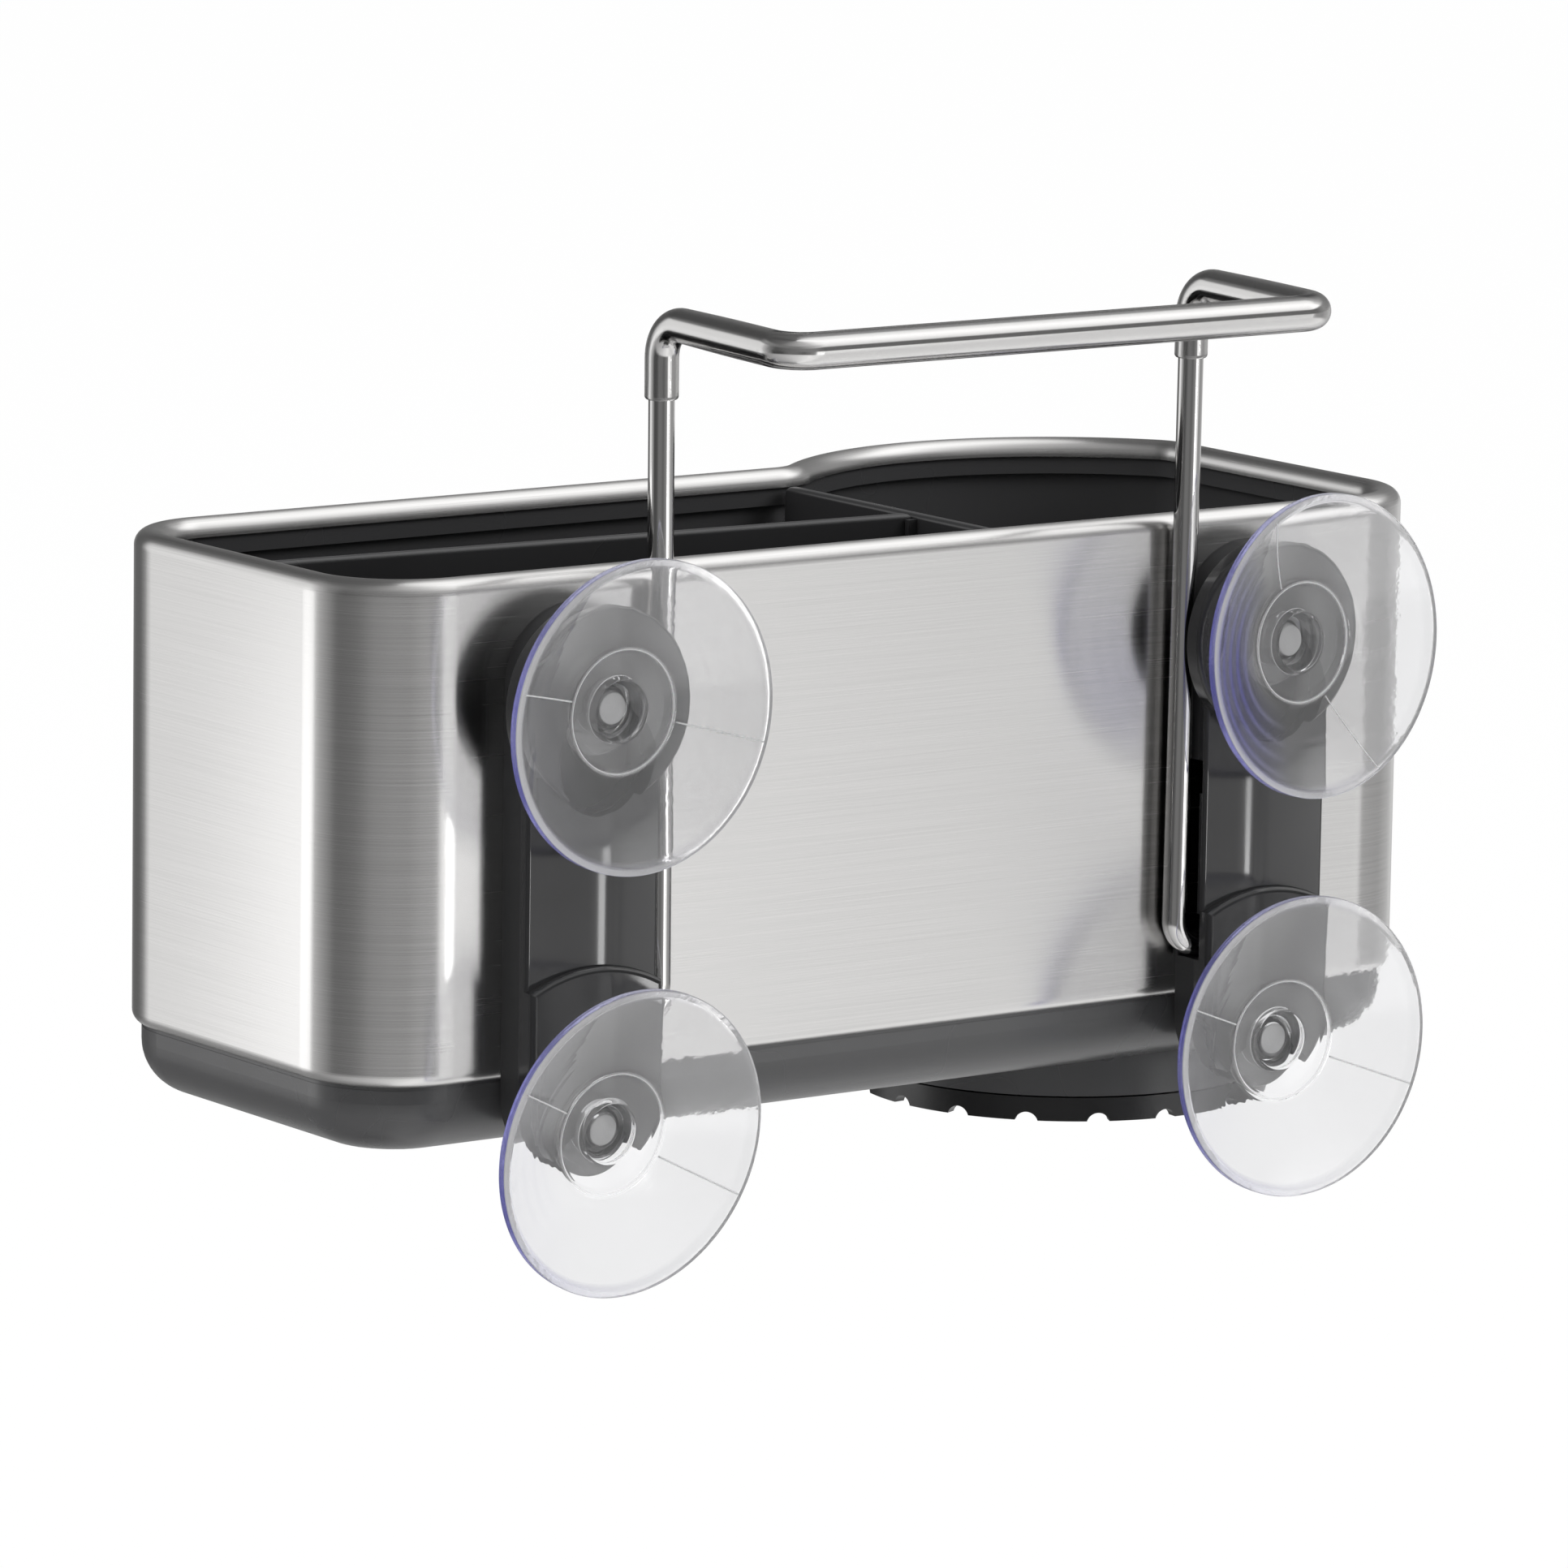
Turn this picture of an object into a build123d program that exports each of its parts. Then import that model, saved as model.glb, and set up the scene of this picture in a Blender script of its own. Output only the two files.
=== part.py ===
from build123d import *
import os

# Sink caddy: a steel clad bin for sponges and a brush, hung on a sink wall by four suction cups.
# Frame: the sink wall is the plane Y = 0, the four cups sit round the origin, the front faces -Y
# and +Z is up. All lengths are millimetres, all angles degrees.

# Suction cups
cup_spacing_z = 77.4
cup_radius = 28.9
cup_land = 1.3
cup_edge = 1.7
cup_hollow = 4.3
cup_thickness = 2.3
cup_inner_bulge = 3.3
cup_outer_bulge = 5.0
hub_radius = 11.3
hub_back_radius = 8.6
hub_core_radius = 5.9
hub_core_end_radius = 4.7
hub_core_depth = 9.0
neck_radius = 5.2
head_radius = 9.4
head_end_radius = 7.2
head_thickness = 3.0
soft_gap = 0.3

# Caddy body
body_length = 247.5
body_depth = 91.6
body_height = 92.6
body_shift_x = -1.85
stand_off = 22.0
seam_below_cups = 30.5
corner_back = 20.0
corner_front = 20.0
corner_brush = 12.0
corner_hollow = 8.0

# Round brush compartment, measured from the body's -X end and ahead of its front wall
brush_from_end = 50.1
brush_ahead = 16.3
brush_radius = 61.0

# Steel sleeve
sheet = 0.6
rim_roll = 3.0
rim_lip = 0.6
roll_flat = 0.1
foot_turn = 2.5
foot_flange = 1.6
fit_gap = 0.3

# Inner bin, whose base shows below the sleeve
bin_wall = 2.3
bin_top_drop = 2.6
bin_lip_height = 4.4
bin_lip_width = 2.0
seam_gap = 0.5
groove_inset = 1.9
base_inset = 1.8
base_height = 13.1
base_round = 10.0
floor_thickness = 2.2
floor_round = 8.0
guide_rib = 1.6
guide_rib_proud = 5.0
guide_rib_drop = 8.0

# Drain neck and twist-off cap
drain_ahead = 5.8
neck_outer_radius = 39.9
neck_wall = 2.9
neck_length = 8.8
cap_gap = 0.3
cap_ring_height = 4.6
cap_ring_wall = 2.3
cap_collar_wall = 2.2
cap_collar_height = 8.0
cap_floor = 2.0
cap_floor_drop = 0.8
cap_turn = 30.0
lug_count = 3
lug_angle = 12.0
lug_height = 2.6
lug_proud = 1.4
lug_gap = 0.25
lug_gap_angle = 1.0
lug_rise = 4.6
notch_count = 18
notch_radius = 2.3
notch_height = 1.65
notch_turn = 4.2
drain_slot_count = 8
drain_slot_width = 3.2
drain_slot_length = 14.0
drain_slot_radius = 20.0
drain_hole_radius = 3.0

# Dividers
cross_from_end = 93.5
cross_thickness = 2.8
cross_top_drop = 3.2
cross_foot_round = 9.0
cross_head_round = 1.8
divider_behind_middle = 1.5
divider_thickness = 2.6
divider_rise = 1.6
divider_foot_round = 9.0
divider_gap = 0.4
edge_round = 0.9
joint_rib = 1.2
joint_rib_proud = 2.0
drain_arch_radius = 5.0
drain_arch_spacing = 40.0

# Back brackets
bracket_from_end = 46.55
bracket_width = 28.8
bracket_edge_depth = 7.8
bracket_crown = 0.6
bracket_wall = 2.0
bracket_cavity = 6.3
bracket_floor = 1.5
pocket_wall = 2.0
bracket_top_above_cup = 3.3
bracket_low_above_cup = 5.2
bracket_round = 0.8
boss_radius = 19.0
boss_back = 7.2
boss_front = 10.8
boss_round = 0.9
pad_radius = 29.5
pad_front = 10.0
pad_round = 1.2
plate_back = 8.2
keyhole_radius = 10.8
keyhole_drop = 10.0
neck_slot = 5.5
head_pocket = 9.9
hook_slot_back = 0.7
hook_slot_front = 6.3
hook_window_front = 7.1
hook_low_window = 8.9
hook_high_window = 6.3
hook_low_z = 8.1
hook_travel = 32.0

# Screws that hold each bracket to the bin
screw_radius = 1.9
screw_clearance = 0.3
pilot_clearance = 0.05
screw_head_radius = 3.8
screw_head_height = 2.2
screw_head_round = 0.8
screw_length = 9.0
recess_radius = 1.5
recess_depth = 1.4
post_radius = 4.0
screw_heights = (36.0, 18.0)

# Wire bar and its clear tube
wire_radius = 2.4
wire_from_body = 3.5
bar_leg_inboard = 17.6
bar_splay = 1.0
bar_height = 135.8
bar_arm_drop = 1.3
bar_reach = 39.5
hook_length = 7.2
hook_bend = 5.0
elbow_bend = 6.5
corner_bend = 9.0
tube_radius = 3.4
tube_bore_gap = 0.08
tube_drop = 13.0

overrun = 4.0

# Places worked out from the sizes above
body_back = -stand_off
seam_z = -seam_below_cups
rim_top = seam_z + body_height
body_left = body_shift_x - body_length / 2
body_right = body_shift_x + body_length / 2
body_front = body_back - body_depth
body_mid_y = body_back - body_depth / 2
base_top = seam_z - seam_gap
groove_top = seam_z + foot_turn + fit_gap
base_bottom = seam_z - base_height
floor_top = base_bottom + floor_thickness
sheet_inside = sheet + fit_gap
bin_inside = sheet_inside + bin_wall
bin_lip_inside = bin_inside + bin_lip_width
bin_top = rim_top - bin_top_drop
brush_x = body_left + brush_from_end
brush_front = body_front - brush_ahead
brush_y = brush_front + brush_radius
drain_y = brush_y - drain_ahead
neck_bore_radius = neck_outer_radius - neck_wall
neck_bottom = base_bottom - neck_length
cross_x = body_left + cross_from_end
divider_y = body_mid_y + divider_behind_middle
divider_inset = 2 * rim_roll + divider_gap
divider_foot = floor_top + divider_gap
cross_top = rim_top - cross_top_drop
cup_high = cup_spacing_z / 2
cup_low = -cup_spacing_z / 2
bracket_x = body_length / 2 - bracket_from_end
bar_leg_x = bracket_x - bar_leg_inboard
wire_y = body_back + wire_from_body
bar_z = seam_z + bar_height
hook_z = seam_z + hook_low_z + fit_gap + wire_radius
bracket_head_z = cup_high + bracket_top_above_cup
bracket_foot_z = cup_low + bracket_low_above_cup
bracket_half = bracket_width / 2
bracket_mid_z = (bracket_head_z + bracket_foot_z) / 2
bracket_span = bracket_head_z - bracket_foot_z

os.makedirs("parts", exist_ok=True)


def outline(inset):
    """Plan outline of the caddy, drawn in the open sketch and moved inwards by the inset."""
    with Locations((body_left + inset, body_back - inset)):
        Rectangle(brush_from_end - inset, body_back - brush_y - inset, align=(Align.MIN, Align.MAX))
    with Locations((body_right - inset, body_back - inset)):
        main_length = body_length - brush_from_end - inset
        Rectangle(main_length, body_depth - 2 * inset, align=(Align.MAX, Align.MAX))
    with Locations((brush_x, brush_y)):
        Circle(brush_radius - inset)
    with Locations((body_right - inset, body_back - inset)):
        clip_depth = body_back - brush_front + overrun
        clip_length = body_length - 2 * inset
        Rectangle(clip_length, clip_depth, align=(Align.MAX, Align.MAX), mode=Mode.INTERSECT)
    fillet(vertices().group_by(Axis.Y)[-1], corner_back - inset)
    fillet(vertices().group_by(Axis.Y)[0].sort_by(Axis.X)[-1], corner_front - inset)
    fillet(vertices().group_by(Axis.Y)[0].sort_by(Axis.X)[0], corner_hollow + inset)
    fillet(vertices().group_by(Axis.X)[0].sort_by(Axis.Y)[0], corner_brush - inset)


def screw_holes(radius):
    """Holes for the four bracket screws through whatever wall is open at the body's back."""
    for side in (-1, 1):
        for height in screw_heights:
            with BuildSketch(Plane.XZ.offset(-body_back)) as hole:
                with Locations((side * bracket_x, seam_z + height)):
                    Circle(radius)
            extrude(hole.sketch, amount=bin_inside + overrun, mode=Mode.SUBTRACT)


def write(piece, name):
    """Label a finished piece and write its file."""
    piece.part.label = name
    export_step(piece.part, "parts/" + name + ".step")


# Steel sleeve: sheet rolled over at the rim and turned in at the foot
with BuildPart() as steel_sleeve:
    with BuildSketch(Plane.XY.offset(seam_z)):
        outline(0)
    extrude(amount=body_height)
    fillet(steel_sleeve.faces().sort_by(Axis.Z)[-1].edges(), rim_roll)
    fillet(steel_sleeve.faces().sort_by(Axis.Z)[0].edges(), foot_turn)
    with BuildPart(mode=Mode.PRIVATE) as hollow:
        with BuildSketch(Plane.XY.offset(seam_z + sheet)):
            outline(sheet)
        extrude(amount=body_height - 2 * sheet)
        fillet(hollow.faces().sort_by(Axis.Z)[-1].edges(), rim_roll - sheet)
        fillet(hollow.faces().sort_by(Axis.Z)[0].edges(), foot_turn - sheet)
        with BuildSketch(Plane.XY.offset(rim_top - rim_roll - rim_lip)):
            outline(2 * rim_roll - sheet)
        extrude(amount=rim_roll + rim_lip, mode=Mode.SUBTRACT)
        ring = hollow.faces().sort_by(Axis.Z)[-1]
        fillet(ring.inner_wires()[0].edges(), rim_roll - sheet - roll_flat)
    add(hollow.part, mode=Mode.SUBTRACT)
    with BuildSketch(Plane.XY.offset(rim_top)):
        outline(2 * rim_roll)
    extrude(amount=-body_height / 2, mode=Mode.SUBTRACT)
    crown = steel_sleeve.faces().sort_by(Axis.Z)[-1]
    fillet(crown.inner_wires()[0].edges(), rim_roll - roll_flat)
    with BuildSketch(Plane.XY.offset(seam_z)):
        outline(foot_flange)
    extrude(amount=body_height / 2, mode=Mode.SUBTRACT)
    screw_holes(screw_radius + screw_clearance)
write(steel_sleeve, "steel_sleeve")

# Bin: liner, base and drain neck in one moulding
with BuildPart() as bin_body:
    with BuildSketch(Plane.XY.offset(base_bottom)):
        outline(base_inset)
    extrude(amount=base_top - base_bottom)
    fillet(bin_body.faces().sort_by(Axis.Z)[0].edges(), base_round)
    with BuildSketch(Plane.XY.offset(base_top)):
        outline(groove_inset)
    extrude(amount=groove_top - base_top)
    with BuildSketch(Plane.XY.offset(groove_top)):
        outline(sheet_inside)
    extrude(amount=bin_top - groove_top)
    with BuildPart(mode=Mode.PRIVATE) as room:
        with BuildSketch(Plane.XY.offset(floor_top)):
            outline(bin_inside)
        extrude(amount=bin_top - floor_top)
        fillet(room.faces().sort_by(Axis.Z)[0].edges(), floor_round)
        with BuildSketch(Plane.XY.offset(bin_top - bin_lip_height)):
            outline(bin_inside)
        extrude(amount=bin_lip_height, mode=Mode.SUBTRACT)
        with BuildSketch(Plane.XY.offset(bin_top - bin_lip_height)):
            outline(bin_lip_inside)
        extrude(amount=bin_lip_height)
    add(room.part, mode=Mode.SUBTRACT)
    # Guide ribs that hold the ends of the cross divider
    rib_foot = floor_top + floor_round
    rib_height = bin_top - guide_rib_drop - rib_foot
    rib_root = bin_inside - bin_wall / 2
    rib_length = guide_rib_proud + bin_wall / 2
    rib_offset = cross_thickness / 2 + fit_gap + guide_rib / 2
    for side in (-1, 1):
        rib_x = cross_x + side * rib_offset
        with BuildSketch(Plane.XY.offset(rib_foot)):
            with Locations((rib_x, body_back - rib_root - rib_length / 2)):
                Rectangle(guide_rib, rib_length)
            with Locations((rib_x, body_front + rib_root + rib_length / 2)):
                Rectangle(guide_rib, rib_length)
        extrude(amount=rib_height)
        # Guide ribs at the end wall hold the sponge divider
        rib_y = divider_y + side * (divider_thickness / 2 + fit_gap + guide_rib / 2)
        with BuildSketch(Plane.XY.offset(rib_foot)):
            with Locations((body_right - rib_root - rib_length / 2, rib_y)):
                Rectangle(rib_length, guide_rib)
        extrude(amount=rib_height)
    # Drain neck with the bayonet channel and its entry slots
    with BuildSketch(Plane.XY.offset(base_bottom)):
        with Locations((brush_x, drain_y)):
            Circle(neck_outer_radius)
    extrude(amount=-neck_length)
    with BuildSketch(Plane.XY.offset(neck_bottom)):
        with Locations((brush_x, drain_y)):
            Circle(neck_bore_radius)
    extrude(amount=neck_length + floor_thickness, mode=Mode.SUBTRACT)
    channel_bottom = neck_bottom - cap_gap + lug_rise - lug_gap
    channel_radius = neck_bore_radius - cap_gap + lug_proud + lug_gap
    for index in range(lug_count):
        start = index * 360 / lug_count - lug_angle / 2 - lug_gap_angle
        with BuildSketch(Plane.XY.offset(channel_bottom)):
            with BuildLine(Location((brush_x, drain_y))):
                reach = CenterArc((0, 0), channel_radius, start, lug_angle + cap_turn + 2 * lug_gap_angle)
                Line((0, 0), reach @ 0)
                Line(reach @ 1, (0, 0))
            make_face()
        extrude(amount=lug_height + 2 * lug_gap, mode=Mode.SUBTRACT)
        with BuildSketch(Plane.XY.offset(neck_bottom)):
            with BuildLine(Location((brush_x, drain_y))):
                entry = CenterArc((0, 0), channel_radius, start + cap_turn, lug_angle + 2 * lug_gap_angle)
                Line((0, 0), entry @ 0)
                Line(entry @ 1, (0, 0))
            make_face()
        extrude(amount=channel_bottom - neck_bottom, mode=Mode.SUBTRACT)
    screw_holes(screw_radius + screw_clearance)
write(bin_body, "bin")

# Drain cap: notched grip ring, strainer floor and a collar with bayonet lugs
with BuildPart() as drain_cap:
    ring_top = neck_bottom - cap_gap
    ring_bottom = ring_top - cap_ring_height
    collar_radius = neck_bore_radius - cap_gap
    floor_level = ring_top - cap_floor_drop - cap_floor
    with BuildSketch(Plane.XY.offset(ring_bottom)):
        with Locations((brush_x, drain_y)):
            Circle(neck_outer_radius)
    extrude(amount=cap_ring_height)
    with BuildSketch(Plane.XY.offset(ring_top)):
        with Locations((brush_x, drain_y)):
            Circle(collar_radius)
    extrude(amount=cap_collar_height)
    with BuildSketch(Plane.XY.offset(floor_level + cap_floor)):
        with Locations((brush_x, drain_y)):
            Circle(collar_radius - cap_collar_wall)
    extrude(amount=cap_collar_height + cap_floor_drop, mode=Mode.SUBTRACT)
    with BuildSketch(Plane.XY.offset(ring_bottom)):
        with Locations((brush_x, drain_y)):
            Circle(neck_outer_radius - cap_ring_wall)
    extrude(amount=floor_level - ring_bottom, mode=Mode.SUBTRACT)
    for index in range(lug_count):
        start = index * 360 / lug_count - lug_angle / 2
        with BuildSketch(Plane.XY.offset(ring_top + lug_rise)):
            with BuildLine(Location((brush_x, drain_y))):
                outer = CenterArc((0, 0), collar_radius + lug_proud, start, lug_angle)
                inner = CenterArc((0, 0), collar_radius - cap_collar_wall / 2, start, lug_angle)
                Line(inner @ 0, outer @ 0)
                Line(inner @ 1, outer @ 1)
            make_face()
        extrude(amount=lug_height)
    notch_level = ring_bottom + notch_height - notch_radius
    for index in range(notch_count):
        turn = notch_turn + index * 360 / notch_count
        ray = Vector(1, 0, 0).rotate(Axis.Z, turn)
        with BuildSketch(Plane((brush_x, drain_y, notch_level), z_dir=ray).offset(neck_bore_radius - cap_ring_wall)):
            Circle(notch_radius)
        extrude(amount=cap_ring_wall + neck_outer_radius - neck_bore_radius + overrun, mode=Mode.SUBTRACT)
    with BuildSketch(Plane.XY.offset(floor_level)):
        with Locations((brush_x, drain_y)):
            Circle(drain_hole_radius)
            with PolarLocations(drain_slot_radius, drain_slot_count):
                SlotOverall(drain_slot_length, drain_slot_width)
    extrude(amount=cap_floor, mode=Mode.SUBTRACT)
write(drain_cap, "drain_cap")

# Cross divider: lifts out between the guide ribs, with two ribs that hold the sponge divider
with BuildPart() as cross_divider:
    cross_depth = body_depth - 2 * divider_inset
    with BuildSketch(Plane.YZ.offset(cross_x - cross_thickness / 2)) as blade:
        with Locations((body_mid_y, (divider_foot + cross_top) / 2)):
            Rectangle(cross_depth, cross_top - divider_foot)
        fillet(blade.vertices().group_by(Axis.Y)[0], cross_foot_round)
        fillet(blade.vertices().group_by(Axis.Y)[-1], cross_head_round)
        with Locations((body_mid_y, divider_foot)):
            with GridLocations(drain_arch_spacing, 0, 2, 1):
                Circle(drain_arch_radius, mode=Mode.SUBTRACT)
    extrude(amount=cross_thickness)
    fillet(cross_divider.edges().filter_by(Axis.Y).group_by(Axis.Z)[-1], edge_round)
    for side in (-1, 1):
        rib_y = divider_y + side * (divider_thickness / 2 + fit_gap + joint_rib / 2)
        with BuildSketch(Plane.XY.offset(divider_foot + cross_foot_round)):
            with Locations((cross_x + cross_thickness / 2 + joint_rib_proud / 2, rib_y)):
                Rectangle(joint_rib_proud, joint_rib)
        extrude(amount=cross_top - divider_foot - cross_foot_round - edge_round)
write(cross_divider, "cross_divider")

# Sponge divider: runs from the end wall to the cross divider, its top rising to the end wall
with BuildPart() as sponge_divider:
    near_x = cross_x + cross_thickness / 2 + divider_gap
    far_x = body_right - divider_inset
    with BuildSketch(Plane.XZ.offset(-divider_y - divider_thickness / 2)) as panel:
        with BuildLine():
            Polyline(
                (near_x, divider_foot),
                (far_x, divider_foot),
                (far_x, cross_top + divider_rise),
                (near_x, cross_top),
                close=True,
            )
        make_face()
        fillet(panel.vertices().group_by(Axis.Y)[0].sort_by(Axis.X)[-1], divider_foot_round)
    extrude(amount=divider_thickness)
    top_face = sponge_divider.faces().sort_by(Axis.Z)[-1]
    fillet(top_face.edges(), edge_round)
write(sponge_divider, "sponge_divider")


def on_back(z_offset):
    """Plane parallel to the sink wall, the given distance in front of the body's back face."""
    return Plane.XZ.offset(-body_back - z_offset)


def keyhole(centre, seat_z, neck, entry):
    """Keyhole outline in the open sketch: a seat of the neck radius over a round entry."""
    with Locations((centre, seat_z)):
        Circle(neck)
    with Locations((centre, seat_z - keyhole_drop / 2)):
        Rectangle(2 * neck, keyhole_drop)
    with Locations((centre, seat_z - keyhole_drop)):
        Circle(entry)


def bracket(centre, inner):
    """Back bracket built in the open part; inner is the sign of X towards the middle."""
    edge_y = body_back + bracket_edge_depth
    with BuildSketch(Plane.XY.offset(bracket_foot_z - bracket_half)) as section:
        with BuildLine():
            Polyline(
                (centre - bracket_half, edge_y),
                (centre - bracket_half, body_back),
                (centre + bracket_half, body_back),
                (centre + bracket_half, edge_y),
            )
            ThreePointArc(
                (centre + bracket_half, edge_y),
                (centre, edge_y + bracket_crown),
                (centre - bracket_half, edge_y),
            )
        make_face()
    extrude(section.sketch, amount=bracket_span + bracket_width)
    with BuildSketch(on_back(0)) as stadium:
        with Locations((centre, bracket_mid_z)):
            SlotCenterToCenter(bracket_span, bracket_width, rotation=90)
    extrude(stadium.sketch, amount=-boss_front, mode=Mode.INTERSECT)
    fillet(faces().sort_by(Axis.Y)[-1].edges(), bracket_round)
    # Raised pad round the lower neck
    with BuildPart(mode=Mode.PRIVATE) as pad:
        with BuildSketch(on_back(0)):
            with Locations((centre, cup_low)):
                Circle(pad_radius)
            with Locations((centre, bracket_mid_z)):
                SlotCenterToCenter(bracket_span, bracket_width, rotation=90, mode=Mode.INTERSECT)
        extrude(amount=-pad_front)
        fillet(pad.faces().sort_by(Axis.Y)[-1].edges(), pad_round)
    add(pad.part)
    # Boss disc round the upper neck
    with BuildPart(mode=Mode.PRIVATE) as boss:
        with BuildSketch(on_back(boss_back)):
            with Locations((centre, cup_high)):
                Circle(boss_radius)
        extrude(amount=boss_back - boss_front)
        fillet(boss.faces().sort_by(Axis.Y)[-1].edges(), boss_round)
    add(boss.part)
    # Hollow middle, open to the body, between the two pockets for the cup heads
    cavity_top = cup_high - keyhole_drop - keyhole_radius - pocket_wall
    cavity_foot = cup_low + head_pocket + pocket_wall
    with BuildSketch(on_back(0)) as cavity:
        with Locations((centre, (cavity_top + cavity_foot) / 2)):
            Rectangle(bracket_width - 2 * bracket_wall, cavity_top - cavity_foot)
    extrude(cavity.sketch, amount=-bracket_cavity, mode=Mode.SUBTRACT)
    for seat_z in (cup_low, cup_high):
        with BuildSketch(on_back(bracket_floor)) as pocket:
            keyhole(centre, seat_z, head_pocket, keyhole_radius)
        extrude(pocket.sketch, amount=bracket_floor - plate_back, mode=Mode.SUBTRACT)
        with BuildSketch(on_back(bracket_floor)) as opening:
            keyhole(centre, seat_z, neck_slot, keyhole_radius)
        extrude(opening.sketch, amount=bracket_floor - boss_front, mode=Mode.SUBTRACT)
    # Screw posts
    for height in screw_heights:
        with BuildSketch(on_back(0)) as post:
            with Locations((centre, seam_z + height)):
                Circle(post_radius)
        extrude(post.sketch, amount=-bracket_edge_depth)
        with BuildSketch(on_back(0)) as pilot:
            with Locations((centre, seam_z + height)):
                Circle(screw_radius + pilot_clearance)
        extrude(pilot.sketch, amount=bin_inside - screw_length - fit_gap, mode=Mode.SUBTRACT)
    # Guide slot and the two windows for the hooked end of the wire bar
    wall_x = centre + inner * (bracket_half - bracket_wall / 2)
    slot_top = hook_travel + hook_high_window
    for start, height, front in (
        (0, slot_top, hook_slot_front),
        (0, hook_low_window, hook_window_front),
        (hook_travel, hook_high_window, hook_window_front),
    ):
        with BuildSketch(on_back(hook_slot_back)) as window:
            with Locations((wall_x, seam_z + hook_low_z + start + height / 2)):
                Rectangle(bracket_wall + fit_gap, height)
        extrude(window.sketch, amount=hook_slot_back - front, mode=Mode.SUBTRACT)


with BuildPart() as bracket_left:
    bracket(bracket_x, -1)
write(bracket_left, "bracket_left")

with BuildPart() as bracket_right:
    bracket(-bracket_x, 1)
write(bracket_right, "bracket_right")

# Four screws driven from inside the bin into the bracket posts
with BuildPart() as bracket_screws:
    for side in (-1, 1):
        for height in screw_heights:
            with BuildSketch(on_back(-bin_inside)):
                with Locations((side * bracket_x, seam_z + height)):
                    Circle(screw_head_radius)
            extrude(amount=screw_head_height)
            with BuildSketch(on_back(-bin_inside)):
                with Locations((side * bracket_x, seam_z + height)):
                    Circle(screw_radius)
            extrude(amount=-screw_length)
            with BuildSketch(on_back(-bin_inside - screw_head_height)):
                with Locations((side * bracket_x, seam_z + height)):
                    RegularPolygon(recess_radius, 6)
            extrude(amount=-recess_depth, mode=Mode.SUBTRACT)
    head_faces = bracket_screws.faces().filter_by(Axis.Y).group_by(Axis.Y)[0]
    for head_face in head_faces:
        fillet(head_face.outer_wire().edges(), screw_head_round)
write(bracket_screws, "bracket_screws")


def leg_x(height):
    """Distance of a leg's centre from the middle plane: the legs spread a little towards the top."""
    rise = (height - hook_z) / (bar_z + bar_arm_drop - hook_z)
    return bar_leg_x + bar_splay * rise


def bar_points(leg_bottom):
    """Corner points of the bar above the given leg height, from the +X leg to the -X leg."""
    reach_y = wire_y + bar_reach
    elbow_z = bar_z + bar_arm_drop
    top_x = bar_leg_x + bar_splay
    low_x = leg_x(leg_bottom)
    return [
        (low_x, wire_y, leg_bottom),
        (top_x, wire_y, elbow_z),
        (top_x, reach_y, bar_z),
        (-top_x, reach_y, bar_z),
        (-top_x, wire_y, elbow_z),
        (-low_x, wire_y, leg_bottom),
    ]


# Wire bar with hooked ends that sit in the bracket windows
with BuildPart() as wire_bar:
    with BuildLine() as wire_path:
        leg_points = bar_points(hook_z)
        hook_tip = bar_leg_x + hook_length
        FilletPolyline(
            (hook_tip, wire_y, hook_z),
            *leg_points,
            (-hook_tip, wire_y, hook_z),
            radius=(hook_bend, elbow_bend, corner_bend, corner_bend, elbow_bend, hook_bend),
        )
    with BuildSketch(Plane((hook_tip, wire_y, hook_z), z_dir=(-1, 0, 0))):
        Circle(wire_radius)
    sweep(path=wire_path.wire())
write(wire_bar, "wire_bar")

# Clear tube drawn over the upper part of the bar
with BuildPart() as bar_tube:
    with BuildLine() as tube_path:
        FilletPolyline(
            *bar_points(bar_z - tube_drop),
            radius=(elbow_bend, corner_bend, corner_bend, elbow_bend),
        )
    with BuildSketch(Plane.XY.offset(bar_z - tube_drop)):
        with Locations((leg_x(bar_z - tube_drop), wire_y)):
            Circle(tube_radius)
            Circle(wire_radius + tube_bore_gap, mode=Mode.SUBTRACT)
    sweep(path=tube_path.wire())
write(bar_tube, "bar_tube")


def cup(centre_x, centre_z):
    """Suction cup turned about an axis along Y, its neck and head passing through a keyhole."""
    hub_front = -cup_hollow - cup_thickness
    hub_back = -stand_off + boss_front + soft_gap
    head_front = -stand_off + plate_back - soft_gap
    head_back = head_front - head_thickness
    land_radius = cup_radius - cup_land
    mid_inner = (land_radius + hub_core_radius) / 2
    mid_outer = (cup_radius + hub_radius) / 2
    with BuildSketch(Plane.XY.offset(centre_z)) as profile:
        with BuildLine(Location((centre_x, 0))):
            ThreePointArc((hub_core_radius, -cup_hollow), (mid_inner, -cup_inner_bulge), (land_radius, 0))
            Polyline((land_radius, 0), (cup_radius, 0), (cup_radius, -cup_edge))
            ThreePointArc((cup_radius, -cup_edge), (mid_outer, -cup_outer_bulge), (hub_radius, hub_front))
            Polyline(
                (hub_radius, hub_front),
                (hub_back_radius, hub_back),
                (neck_radius, hub_back),
                (neck_radius, head_front),
                (head_radius, head_front),
                (head_end_radius, head_back),
                (0, head_back),
                (0, -hub_core_depth),
                (hub_core_end_radius, -hub_core_depth),
                (hub_core_radius, -cup_hollow),
            )
        make_face()
    revolve(profile.sketch, axis=Axis((centre_x, 0, centre_z), (0, 1, 0)))


with BuildPart() as cup_upper_left:
    cup(bracket_x, cup_high)
write(cup_upper_left, "cup_upper_left")

with BuildPart() as cup_upper_right:
    cup(-bracket_x, cup_high)
write(cup_upper_right, "cup_upper_right")

with BuildPart() as cup_lower_left:
    cup(bracket_x, cup_low)
write(cup_lower_left, "cup_lower_left")

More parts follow.
